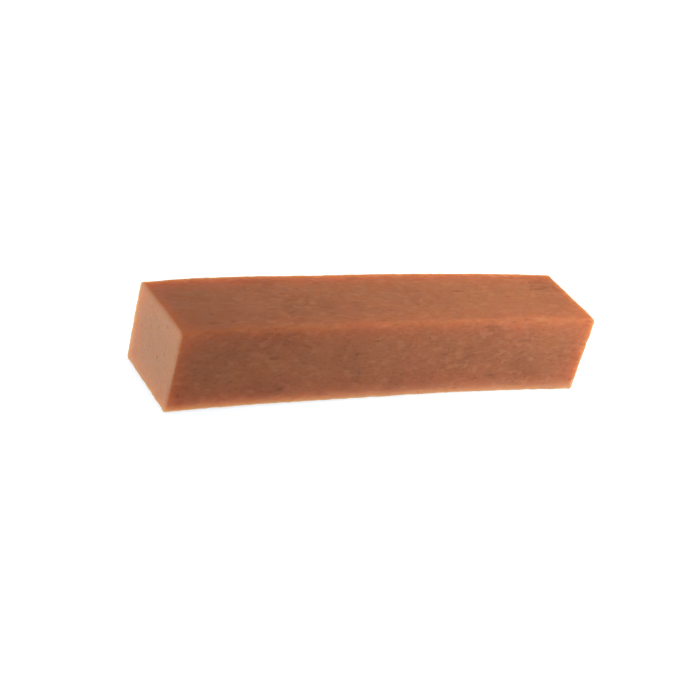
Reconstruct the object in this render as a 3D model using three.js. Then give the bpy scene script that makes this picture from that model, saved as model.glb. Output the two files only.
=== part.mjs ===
// A sanding-belt cleaning stick: one solid bar of natural crepe rubber, made as a long moulding and
// cut to length. There is nothing inside it and nothing fastened to it, so it is a single mesh.
//
// Millimetres, +Z up. The bar lies on its underside along X, and the origin is at the middle of the
// underside of its bounding box. Soft bars warp as they cure, so this one is bowed a little in plan:
// its middle stands further towards +Y than its ends, and its underside and top stay flat.

import * as THREE from "three";

// Driving dimensions, in millimetres.
const LENGTH = 195; // straight line between the middles of the two cut ends
const WIDTH = 42; // across the bar, along Y
const HEIGHT = 36; // underside to top
const BOW = 2; // how far the middle stands out of line with the ends
const EDGE_RADIUS = 1.5; // on the four long edges, which the mould rounds; the ends are cut square

// How finely the curved stretches are cut into flat ones.
const EDGE_SEGMENTS = 3; // curve divisions in each quarter-round edge, of two chords each
const LENGTH_SEGMENTS = 12; // along the bow

const RUBBER = new THREE.MeshStandardMaterial({
  name: "crepe_rubber",
  color: new THREE.Color(0xa8694a),
  roughness: 0.72,
  metalness: 0,
});

// The moulded section: a rectangle with quarter-round corners, centred on the origin of its plane.
function sectionShape(across, up, radius) {
  const x = across / 2 - radius;
  const y = up / 2 - radius;
  const quarter = Math.PI / 2;
  const shape = new THREE.Shape();
  shape.moveTo(x + radius, -y);
  shape.absarc(x, y, radius, 0, quarter);
  shape.absarc(-x, y, radius, quarter, 2 * quarter);
  shape.absarc(-x, -y, radius, 2 * quarter, 3 * quarter);
  shape.absarc(x, -y, radius, 3 * quarter, 4 * quarter);
  return shape;
}

// The middle line of the bar: a circular arc in plan through both ends, with its crown towards +Y.
class BowedLine extends THREE.Curve {
  constructor(length, bow) {
    super();
    this.radius = (length * length) / (8 * bow) + bow / 2;
    this.halfAngle = Math.asin(length / 2 / this.radius);
    this.centreY = bow - this.radius;
  }

  getPoint(t, target = new THREE.Vector3()) {
    const angle = (2 * t - 1) * this.halfAngle;
    return target.set(
      this.radius * Math.sin(angle),
      this.centreY + this.radius * Math.cos(angle),
      HEIGHT / 2,
    );
  }
}

// The sweep carries the section's first axis up Z and its second across Y.
function rubberBar() {
  const geometry = new THREE.ExtrudeGeometry(sectionShape(HEIGHT, WIDTH, EDGE_RADIUS), {
    steps: LENGTH_SEGMENTS,
    curveSegments: EDGE_SEGMENTS,
    bevelEnabled: false,
    extrudePath: new BowedLine(LENGTH, BOW),
  });
  const bar = new THREE.Mesh(geometry, RUBBER);
  bar.name = "crepe_rubber_bar";

  geometry.computeBoundingBox();
  const { min, max } = geometry.boundingBox;
  bar.position.y = -(min.y + max.y) / 2;
  return bar;
}

const stick = new THREE.Group();
stick.add(rubberBar());

export default stick;
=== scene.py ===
"""The looks of the sanding-belt cleaning stick: one bar of crepe rubber on a pale studio floor.

Everything is in metres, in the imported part's frame: +X along the bar, +Y across it, +Z up, with the
origin in the middle of its underside. The bar has no joints, so it rides on the one body, root.
"""

import math

import bpy
import numpy as np
from mathutils import Matrix, Vector, noise


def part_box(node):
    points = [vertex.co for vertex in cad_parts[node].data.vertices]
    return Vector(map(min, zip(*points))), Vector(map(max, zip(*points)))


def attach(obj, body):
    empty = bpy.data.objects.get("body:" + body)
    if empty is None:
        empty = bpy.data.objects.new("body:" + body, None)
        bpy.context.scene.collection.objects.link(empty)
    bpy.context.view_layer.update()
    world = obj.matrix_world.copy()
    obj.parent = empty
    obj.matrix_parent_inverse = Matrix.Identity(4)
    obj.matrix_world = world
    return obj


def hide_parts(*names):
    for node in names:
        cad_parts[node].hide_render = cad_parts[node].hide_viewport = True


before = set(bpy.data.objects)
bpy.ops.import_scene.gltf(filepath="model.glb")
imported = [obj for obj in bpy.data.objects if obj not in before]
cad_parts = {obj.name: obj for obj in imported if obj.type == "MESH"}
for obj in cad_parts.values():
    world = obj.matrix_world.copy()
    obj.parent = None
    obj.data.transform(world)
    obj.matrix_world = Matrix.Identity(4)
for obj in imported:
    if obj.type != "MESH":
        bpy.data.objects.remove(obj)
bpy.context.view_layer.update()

MM = 0.001
TINY = 1e-9  # keeps a division clear of nought
NODE = "crepe_rubber_bar"

# The bar's shape, beyond what its box says.
BOW = 2.0 * MM  # how far its middle stands out of line with its ends, towards +Y
ARCH = 0.5 * MM  # how far its middle stands up between its ends
MOULDED_EDGE = 1.9 * MM  # radius of the four long edges
CUT_EDGE = 0.9 * MM  # radius of the knife-cut edges round the two ends
CUT_SLANT = 0.4 * MM  # how far the left cut leans, in at the top and out at the bottom
WORN_CORNER = 1.1 * MM  # how far the left end's back top corner is worn down
WORN_CORNER_REACH = 15.0 * MM  # how far along and across the bar that wear spreads
TOP_SWELL = 0.55 * MM  # how much thicker the bar gets towards its right end
SWELL_START = -0.2  # where it starts to, when 0 is the bar's middle and -1 its left end

# The relief on its surface. Each kind has a wavelength along X, Y and Z, and a height.
WAVES = ((60 * MM, 45 * MM, 45 * MM), 0.28 * MM)  # these move whole faces
LUMPS = ((11 * MM, 8 * MM, 8 * MM), 0.13 * MM)
GRAIN = ((5 * MM, 1.6 * MM, 1.6 * MM), 0.045 * MM)  # on the sides only, drawn out along the bar
NIBBLES = ((4.5 * MM, 4 * MM, 4 * MM), 0.5 * MM)  # out of every edge
KNIFE_MARKS = ((2 * MM, 1.5 * MM, 14 * MM), 0.07 * MM)  # up and down the cut ends
NIBBLE_REACH = 1.1 * MM  # how far from an edge the nibbles spread
OCTAVE_FALL = 0.8  # how fast the finer octaves of a kind of relief fade
OCTAVE_RATIO = 2.1  # how many times finer each octave is than the last
SEED_STEP = (17.3, 5.1, 9.7)  # wavelengths from one seed's relief to the next one's

# The dents. Each range is what one dent's value is drawn from.
DENT_COUNT = 210
DENT_DEPTH = 0.26 * MM
DENT_STRENGTH = (0.4, 1.0)  # its share of that depth
DENT_RADIUS = (0.35 * MM, 0.75 * MM)
DENT_STRETCH = (1.5, 4.0)  # how many times longer than wide it is, on the sides
RANDOM_SEED = 11

# How far the marks in the rubber's colour spread. The lower edges' mark is a painted glow, the left
# end's a painted shade.
RIM_REACH = 1.6 * MM  # in from the outline of a cut end
LOWER_GLOW_REACH = 4.0 * MM  # from the lower long edges
LEFT_SHADE_REACH = 28.0 * MM  # from the left end

# The rubber's colours.
TAN = (0.3, 0.104, 0.044, 1)
BROWN = (0.25, 0.086, 0.037, 1)
RED_TAN = (0.315, 0.1, 0.046, 1)
PALE_TAN = (0.36, 0.138, 0.065, 1)
PALE_CUT = (0.385, 0.2, 0.115, 1)
DULL_CUT = (0.25, 0.135, 0.083, 1)
# painted glow: the lower long edges' paler colour, for the floor's light coming through them
PAINTED_GLOW = (0.45, 0.245, 0.135, 1)
DARK_SPECK = (0.14, 0.046, 0.022, 1)
GLOW_DEPTH = 34.0 * MM  # how deep light goes in; set high, for a glow a few millimetres wide

# The surface mesh.
GRID = 0.66 * MM  # its spacing on the flat faces
EDGE_STEPS = 4  # its steps in each half of a rounded edge

# The camera: where it stands from the middle of the bar's box, and how it is turned.
CAMERA_FROM_MIDDLE = (-283.5 * MM, -419.6 * MM, 262.8 * MM)
CAMERA_AZIMUTH = math.radians(33.22)
CAMERA_ELEVATION = math.radians(28.22)
CAMERA_ROLL = math.radians(15.0)
SENSOR_WIDTH = 36.0
LENS = 70.05

# The studio: its size in metres, and the strength and tint of its light.
FLOOR_RADIUS = 6.0
BACKDROP_HEIGHT = 4.0
FLOOR_GLOW = 0.7
ROOM_LIGHT = 0.03
CEILING_LIGHT = 2.75
CEILING_EDGE = 0.75  # the sine of the elevation where the room's light starts to rise
CEILING_MIDDLE = 0.97  # and where it has risen to the ceiling's
COOL_WHITE = (0.93, 1.0, 1.05)
WARM_WHITE = (1.0, 0.96, 0.87)


# ---------------------------------------------------------------- shader nodes


class Nodes:
    """Adds shader nodes to one node tree and links them up."""

    def __init__(self, tree):
        self.tree = tree

    def connect(self, value, socket):
        """Links the socket to value if that is another node's output, and sets it to value if not."""
        if isinstance(value, bpy.types.NodeSocket):
            self.tree.links.new(value, socket)
        else:
            socket.default_value = value

    def add(self, kind, inputs=(), **settings):
        """A new node. An input is a number, a colour, or an output socket of another node."""
        node = self.tree.nodes.new(kind)
        for name, value in settings.items():
            setattr(node, name, value)
        for name, value in dict(inputs).items():
            self.connect(value, node.inputs[name])
        return node

    def attribute(self, name):
        """One of the marks that are stored on the mesh."""
        return self.add("ShaderNodeAttribute", attribute_name=name).outputs["Fac"]

    def noise(self, where, scale, detail=3.0, roughness=0.5):
        """Smooth noise from 0 to 1, with about scale waves to the metre."""
        inputs = {"Vector": where, "Scale": scale, "Detail": detail, "Roughness": roughness}
        return self.add("ShaderNodeTexNoise", inputs).outputs["Fac"]

    def squeezed(self, where, share):
        """Coordinates at a share of their length along the bar, so that noise on them is drawn out."""
        inputs = {"Vector": where, "Scale": (share, 1.0, 1.0)}
        return self.add("ShaderNodeMapping", inputs).outputs["Vector"]

    def ramp(self, value, low, high, to_low=0.0, to_high=1.0):
        """Takes value from low..high to to_low..to_high, smoothly and without going past either."""
        inputs = {
            "Value": value,
            "From Min": low,
            "From Max": high,
            "To Min": to_low,
            "To Max": to_high,
        }
        node = self.add("ShaderNodeMapRange", inputs, interpolation_type="SMOOTHSTEP")
        return node.outputs["Result"]

    def mix(self, share, a, b):
        """The colour a, with that share of the colour b. The node has several sockets of each name."""
        node = self.add("ShaderNodeMix", data_type="RGBA")
        self.connect(share, node.inputs[0])
        self.connect(a, node.inputs[6])
        self.connect(b, node.inputs[7])
        return node.outputs[2]

    def math(self, operation, a, b):
        """A sum, a product and so on of two values."""
        node = self.add("ShaderNodeMath", operation=operation)
        self.connect(a, node.inputs[0])
        self.connect(b, node.inputs[1])
        return node.outputs[0]


def new_material(name):
    """A new material, and its Principled shader."""
    material = bpy.data.materials.new(name)
    material.use_nodes = True
    return material, material.node_tree.nodes["Principled BSDF"]


# ---------------------------------------------------------------- the studio


def make_camera(middle):
    """Stands the camera where the bar is seen from its left end, rolled a little."""
    data = bpy.data.cameras.new("camera")
    data.sensor_width = SENSOR_WIDTH
    data.lens = LENS
    data.clip_start = 0.01
    data.clip_end = 50.0
    forward = Vector(
        (
            math.sin(CAMERA_AZIMUTH) * math.cos(CAMERA_ELEVATION),
            math.cos(CAMERA_AZIMUTH) * math.cos(CAMERA_ELEVATION),
            -math.sin(CAMERA_ELEVATION),
        )
    )
    place = Matrix.Translation(middle + Vector(CAMERA_FROM_MIDDLE))
    level = forward.to_track_quat("-Z", "Y").to_matrix().to_4x4()
    camera = bpy.data.objects.new("camera", data)
    camera.matrix_world = place @ level @ Matrix.Rotation(CAMERA_ROLL, 4, "Z")
    bpy.context.scene.collection.objects.link(camera)
    bpy.context.scene.camera = camera


def make_ceiling():
    """A world that is bright overhead and dim round the sides, so it lights from above."""
    world = bpy.data.worlds.new("ceiling")
    world.use_nodes = True
    nodes = Nodes(world.node_tree)
    direction = nodes.add("ShaderNodeTexCoord").outputs["Generated"]
    up = nodes.add("ShaderNodeSeparateXYZ", {"Vector": direction}).outputs["Z"]
    strength = nodes.ramp(up, CEILING_EDGE, CEILING_MIDDLE, ROOM_LIGHT, CEILING_LIGHT)
    background = world.node_tree.nodes["Background"]
    nodes.connect(strength, background.inputs["Strength"])
    background.inputs["Color"].default_value = (1, 1, 1, 1)
    bpy.context.scene.world = world


def make_floor(height):
    """A light table: a white floor that glows."""
    bpy.ops.mesh.primitive_circle_add(
        vertices=96, radius=FLOOR_RADIUS, fill_type="NGON", location=(0, 0, height)
    )
    floor = bpy.context.object
    floor.name = "floor"
    acrylic, shader = new_material("lit_white_acrylic")
    shader.inputs["Base Color"].default_value = (0.5, 0.5, 0.5, 1)
    shader.inputs["Roughness"].default_value = 0.9
    shader.inputs["Specular IOR Level"].default_value = 0.1
    shader.inputs["Emission Color"].default_value = (*COOL_WHITE, 1)
    shader.inputs["Emission Strength"].default_value = FLOOR_GLOW
    floor.data.materials.append(acrylic)


def make_backdrop(height):
    """A white wall round the floor. The camera sees it, but it doesn't light the bar or shade it."""
    bpy.ops.mesh.primitive_cylinder_add(
        vertices=96,
        radius=FLOOR_RADIUS,
        depth=BACKDROP_HEIGHT,
        end_fill_type="NOTHING",
        location=(0, 0, height + BACKDROP_HEIGHT / 2),
    )
    backdrop = bpy.context.object
    backdrop.name = "backdrop"
    white, shader = new_material("white_backdrop")
    shader.inputs["Base Color"].default_value = (0, 0, 0, 1)
    shader.inputs["Specular IOR Level"].default_value = 0.0
    shader.inputs["Emission Color"].default_value = (1, 1, 1, 1)
    shader.inputs["Emission Strength"].default_value = 1.0
    backdrop.data.materials.append(white)
    backdrop.visible_diffuse = False
    backdrop.visible_glossy = False
    backdrop.visible_transmission = False
    backdrop.visible_shadow = False


def make_softbox(name, target, offset, size, watts, tint=(1.0, 1.0, 1.0)):
    """A square area light that stands at an offset from target and faces it."""
    data = bpy.data.lights.new(name, "AREA")
    data.shape = "SQUARE"
    data.size = size
    data.energy = watts
    data.color = tint
    place = target + Vector(offset)
    light = bpy.data.objects.new(name, data)
    light.location = place
    light.rotation_euler = (target - place).to_track_quat("-Z", "Y").to_euler()
    light.visible_camera = False
    bpy.context.scene.collection.objects.link(light)


def make_softboxes(lo, hi):
    """One each at the bar's left end, in front, on top and behind. Offsets and sizes are in metres.

    Those in front and on top stand by the right end, so the bar gets brighter towards it.
    """
    middle = (lo + hi) / 2
    left_end = Vector((lo.x, middle.y, middle.z))
    right_end = Vector((hi.x, middle.y, middle.z))
    make_softbox("left_softbox", left_end, (-0.5, 0.05, 0.01), size=0.16, watts=2.0)
    make_softbox("front_softbox", right_end, (0.02, -0.16, 0.07), size=0.1, watts=0.28, tint=COOL_WHITE)
    make_softbox("top_softbox", right_end, (0.02, 0.07, 0.21), size=0.08, watts=0.26, tint=WARM_WHITE)
    make_softbox("back_softbox", middle, (0.1, 0.5, 0.05), size=0.2, watts=0.6)


def make_studio(lo, hi):
    """A glowing floor, white surroundings, soft light from overhead, and four small softboxes."""
    make_ceiling()
    make_floor(lo.z)
    make_backdrop(lo.z)
    make_softboxes(lo, hi)
    bpy.context.scene.view_settings.view_transform = "Standard"


# ---------------------------------------------------------------- the rubber


def side_colour(nodes, where):
    """Tan, with broad brown and reddish patches, fine dark streaks, pale scuffs, and painted shade on
    the top near the left end.
    """
    mottle = nodes.noise(where, 38.0, detail=4.0, roughness=0.6)
    colour = nodes.mix(nodes.ramp(mottle, 0.42, 0.66), TAN, BROWN)
    blush = nodes.noise(nodes.squeezed(where, 0.6), 55.0, detail=2.0)
    colour = nodes.mix(nodes.ramp(blush, 0.5, 0.72, to_high=0.8), colour, RED_TAN)
    streak = nodes.noise(nodes.squeezed(where, 0.45), 900.0)
    colour = nodes.mix(nodes.ramp(streak, 0.45, 0.7, to_high=0.3), colour, DARK_SPECK)
    scuff = nodes.noise(nodes.squeezed(where, 0.6), 420.0)
    colour = nodes.mix(nodes.ramp(scuff, 0.5, 0.72, to_high=0.6), colour, PALE_TAN)
    # Painted shade: the top is darker near the left end, where less light falls on it.
    painted_left_shade = nodes.math("MULTIPLY", nodes.attribute("painted_left_shade"), 0.75)
    return nodes.mix(painted_left_shade, colour, BROWN)


def cut_colour(nodes, where):
    """The paler inside of the rubber, with a fine grain, and duller round the outline of the cut."""
    grain = nodes.noise(where, 1500.0, detail=2.0)
    colour = nodes.mix(nodes.ramp(grain, 0.35, 0.7, to_high=0.35), PALE_CUT, TAN)
    rim = nodes.math("MULTIPLY", nodes.attribute("rim"), 0.7)
    return nodes.mix(rim, colour, DULL_CUT)


def rubber_colour(nodes, where):
    """The sides and the cut ends, with painted glow on the lower edges, the sides' dark specks, and
    painted shade in the dents.
    """
    cut_end = nodes.attribute("cut_end")
    colour = nodes.mix(cut_end, side_colour(nodes, where), cut_colour(nodes, where))
    # Painted glow: the lower long edges are paler and brighter, for the floor's light coming through
    # them.
    painted_lower_glow = nodes.math("MULTIPLY", nodes.attribute("painted_lower_glow"), 0.75)
    colour = nodes.mix(painted_lower_glow, colour, PAINTED_GLOW)
    speck = nodes.noise(where, 470.0, detail=1.0)
    on_sides = nodes.math("SUBTRACT", 1.0, cut_end)
    speck = nodes.math("MULTIPLY", nodes.ramp(speck, 0.7, 0.78, to_high=0.5), on_sides)
    colour = nodes.mix(speck, colour, DARK_SPECK)
    # Painted shade: the insides of the dents are darkened.
    pit = nodes.math("MULTIPLY", nodes.attribute("pit"), 0.6)
    return nodes.mix(pit, colour, DARK_SPECK)


def rubber_bump(nodes, where):
    """Grain too fine for the mesh, drawn out along the bar."""
    fine = nodes.noise(nodes.squeezed(where, 0.5), 1900.0, detail=4.0, roughness=0.65)
    coarse = nodes.noise(nodes.squeezed(where, 0.3), 420.0)
    height = nodes.math("ADD", fine, nodes.math("MULTIPLY", coarse, 1.6))
    bump = nodes.add("ShaderNodeBump", {"Height": height, "Strength": 0.6, "Distance": 0.15 * MM})
    return bump.outputs["Normal"]


def make_rubber():
    """Crepe rubber: matt, mottled, and a little see-through, so thin edges glow."""
    material, shader = new_material("crepe_rubber")
    nodes = Nodes(material.node_tree)
    where = nodes.add("ShaderNodeTexCoord").outputs["Object"]
    roughness = nodes.ramp(nodes.noise(where, 260.0), 0.3, 0.7, to_low=0.58, to_high=0.78)
    nodes.connect(rubber_colour(nodes, where), shader.inputs["Base Color"])
    nodes.connect(roughness, shader.inputs["Roughness"])
    nodes.connect(rubber_bump(nodes, where), shader.inputs["Normal"])
    shader.inputs["Specular IOR Level"].default_value = 0.12
    shader.inputs["Subsurface Weight"].default_value = 1.0
    shader.inputs["Subsurface Radius"].default_value = (1.0, 0.45, 0.25)
    shader.inputs["Subsurface Scale"].default_value = GLOW_DEPTH
    return material


# ---------------------------------------------------------------- the straight bar


def grid_line(length, *radii):
    """Places along one side of the box: close together near its ends, even between them."""
    angles = np.linspace(math.pi / 4, 0, EDGE_STEPS + 1)
    corner = np.unique(np.concatenate([radius * (1 - np.tan(angles)) for radius in radii]))
    count = max(2, round((length - 2 * corner[-1]) / GRID))
    inside = np.linspace(corner[-1], length - corner[-1], count + 1)[1:-1]
    return np.concatenate([corner, inside, length - corner[::-1]]) - length / 2


def box_surface(xs, ys, zs):
    """The points and the outward-facing quads of a box's surface, gridded at those places."""
    index = np.full((len(xs), len(ys), len(zs)), -1)
    on_surface = np.ones(index.shape, bool)
    on_surface[1:-1, 1:-1, 1:-1] = False
    index[on_surface] = np.arange(on_surface.sum())
    points = np.stack(np.meshgrid(xs, ys, zs, indexing="ij"), -1)[on_surface]

    quads = []
    for axis in range(3):
        for side in (0, -1):
            sheet = index.take(side, axis=axis)
            quad = np.stack([sheet[:-1, :-1], sheet[1:, :-1], sheet[1:, 1:], sheet[:-1, 1:]], -1)
            quad = quad.reshape(-1, 4)
            faces_out = (side == -1) != (axis == 1)
            quads.append(quad if faces_out else quad[:, ::-1])
    return points, np.concatenate(quads)


def round_edges(points, half):
    """Rolls the box's long edges and eases its cut ones. Returns the points and their normals."""
    # In the section: each square corner becomes a quarter circle.
    core = half[1:] - MOULDED_EDGE
    section = points[:, 1:]
    beyond = section - np.clip(section, -core, core)
    reach = np.linalg.norm(beyond, axis=1)
    farthest = np.abs(beyond).max(axis=1)
    scale = np.where(reach > 0, farthest / np.maximum(reach, TINY), 1.0)
    section = section - beyond * (1 - scale)[:, None]
    outward = np.where(reach[:, None] > 0, beyond / np.maximum(reach, TINY)[:, None], 0.0)

    # Along the bar: how far into the cut edge's rounding each point is, by the end and by the side.
    end = np.sign(points[:, 0])
    by_end = np.clip((np.abs(points[:, 0]) - half[0]) / CUT_EDGE + 1, 0, 1)
    by_side = np.clip((farthest - MOULDED_EDGE) / CUT_EDGE + 1, 0, 1)
    spread = np.maximum(np.hypot(by_end, by_side), TINY)
    rounded = (by_end > 0) & (by_side > 0)
    new_end = np.where(rounded, by_end / spread, by_end)
    new_side = np.where(rounded, by_side / spread, by_side)
    along = points[:, 0] + end * (new_end - by_end) * CUT_EDGE
    section = section + outward * ((new_side - by_side) * CUT_EDGE)[:, None]
    normals = np.column_stack([end * new_end, outward * new_side[:, None]])
    normals /= np.maximum(np.linalg.norm(normals, axis=1), TINY)[:, None]
    return np.column_stack([along, section]), normals


# ---------------------------------------------------------------- its marks and relief


def fade(distance, reach):
    """Falls smoothly from 1 at no distance to about a third at reach and almost 0 at twice that."""
    return np.exp(-((distance / reach) ** 2))


def make_dents(points, normals):
    """How deep in a dent each point is, from 0 to 1. Dents are round on the ends, long on the sides."""
    random = np.random.default_rng(RANDOM_SEED)
    depth = np.zeros(len(points))
    for centre in random.choice(len(points), DENT_COUNT, replace=False):
        on_end = abs(normals[centre, 0]) > 0.5
        wide = random.uniform(*DENT_RADIUS)
        long = wide if on_end else wide * random.uniform(*DENT_STRETCH)
        near = np.abs(points[:, 0] - points[centre, 0]) < 3 * long
        away = (points[near] - points[centre]) / np.array([long, wide, wide])
        dent = np.exp(-(away**2).sum(1)) * random.uniform(*DENT_STRENGTH)
        depth[near] = np.maximum(depth[near], dent)
    return depth


def make_marks(points, normals, half):
    """How strong each mark is at each point, from 0 to 1.

    A cut_end is the face of an end, and its rim is the part near its outline. The lower long edges
    get a painted glow, paler, for the floor's light coming through them. The top gets painted shade,
    darker near the left end where less light falls. A pit is the inside of a dent, darkened as painted
    shade.
    """
    from_face = half - np.abs(points)
    from_long_edge = from_face[:, 1:].max(axis=1)
    from_outline = from_face[:, 1:].min(axis=1)
    from_left_end = points[:, 0] + half[0]
    in_lower_half = points[:, 2] < 0
    cut_end = np.clip(np.abs(normals[:, 0]) * 1.4 - 0.4, 0, 1)
    return {
        # painted glow on the lower long edges
        "painted_lower_glow": fade(from_long_edge, LOWER_GLOW_REACH) * in_lower_half * (1 - cut_end),
        # painted shade on the top near the left end
        "painted_left_shade": fade(from_left_end, LEFT_SHADE_REACH) * np.clip(normals[:, 2], 0, 1),
        "cut_end": cut_end,
        "rim": fade(from_outline, RIM_REACH) * cut_end,
        # the dents' depth, which also darkens their insides as painted shade
        "pit": make_dents(points, normals),
    }


def relief(points, kind, seed, octaves=1):
    """One kind of relief: how far it stands out at each point, up to about its height either way."""
    wavelengths, height = kind
    shift = Vector([seed * step for step in SEED_STEP])
    places = [Vector(place) + shift for place in points / np.array(wavelengths)]
    if octaves == 1:
        return np.array([noise.noise(place) for place in places]) * height
    values = [noise.fractal(place, OCTAVE_FALL, OCTAVE_RATIO, octaves) for place in places]
    return np.array(values) * height


def roughen(points, normals, half, marks):
    """The points, moved along their normals by all the relief and the dents."""
    cut_end = marks["cut_end"]
    from_nearest_edge = np.sort(half - np.abs(points), axis=1)[:, 1]
    nibbled = np.abs(relief(points, NIBBLES, seed=4)) * fade(from_nearest_edge, NIBBLE_REACH)
    push = (
        relief(points, WAVES, seed=1)
        + relief(points, LUMPS, seed=2, octaves=3)
        + relief(points, GRAIN, seed=3, octaves=2) * (1 - cut_end)
        + relief(points, KNIFE_MARKS, seed=5, octaves=2) * cut_end
        - nibbled
        - marks["pit"] * DENT_DEPTH
    )
    return points + normals * push[:, None]


# ---------------------------------------------------------------- the finished bar


def wear(points, half):
    """The points, with the left cut leaning, wear on its back top corner, and the right part thicker.
    """
    share = points / half
    top_share = np.clip(share[:, 2], 0, 1)
    from_corner = np.hypot(points[:, 0] + half[0], points[:, 1] - half[1])
    lost = fade(from_corner, WORN_CORNER_REACH) * top_share * WORN_CORNER
    gained = np.clip(share[:, 0] - SWELL_START, 0, 1) * top_share * TOP_SWELL
    lean = np.clip(-share[:, 0], 0, 1) * share[:, 2] * CUT_SLANT
    return points + np.column_stack([lean, np.zeros(len(points)), gained - lost])


def bend(points, length, width, lo, hi):
    """The points, bent to an arc in plan and to a low arch, and kept from going through the floor."""
    radius = length**2 / (8 * BOW) + BOW / 2
    angle = points[:, 0] / (length / 2) * math.asin(length / 2 / radius)
    reach = radius + points[:, 1]
    centre = hi.y - width / 2 - radius
    lift = ARCH * (0.5 - (2 * points[:, 0] / length) ** 2)
    height = np.maximum(points[:, 2] + lift + (lo.z + hi.z) / 2, lo.z)
    return np.column_stack([reach * np.sin(angle), centre + reach * np.cos(angle), height])


def shape_bar(lo, hi):
    """The bar's points, quads and marks, worked out from its box."""
    # The bow takes up some of the box's width, and by tilting the ends it takes up some of its length.
    size = hi - lo
    width = size.y - BOW
    length = size.x / (1 + 4 * BOW * width / size.x**2)
    half = np.array([length, width, size.z]) / 2
    points, quads = box_surface(
        grid_line(length, CUT_EDGE),
        grid_line(width, CUT_EDGE, MOULDED_EDGE),
        grid_line(size.z, CUT_EDGE, MOULDED_EDGE),
    )
    points, normals = round_edges(points, half)
    marks = make_marks(points, normals, half)
    points = roughen(points, normals, half, marks)
    points = wear(points, half)
    points = bend(points, length, width, lo, hi)
    return points, quads, marks


def make_bar(lo, hi):
    """The bar as one fine closed mesh, which stands for its CAD node."""
    points, quads, marks = shape_bar(lo, hi)
    mesh = bpy.data.meshes.new("rubber_bar")
    mesh.from_pydata(points.tolist(), [], quads.tolist())
    for name, values in marks.items():
        attribute = mesh.attributes.new(name, "FLOAT", "POINT")
        attribute.data.foreach_set("value", values.astype(np.float32))
    mesh.shade_smooth()
    mesh.materials.append(make_rubber())
    bar = bpy.data.objects.new("rubber_bar", mesh)
    bpy.context.scene.collection.objects.link(bar)
    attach(bar, "root")
    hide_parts(NODE)


# ---------------------------------------------------------------- all together

bar_lo, bar_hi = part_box(NODE)
make_camera((bar_lo + bar_hi) / 2)
make_studio(bar_lo, bar_hi)
make_bar(bar_lo, bar_hi)
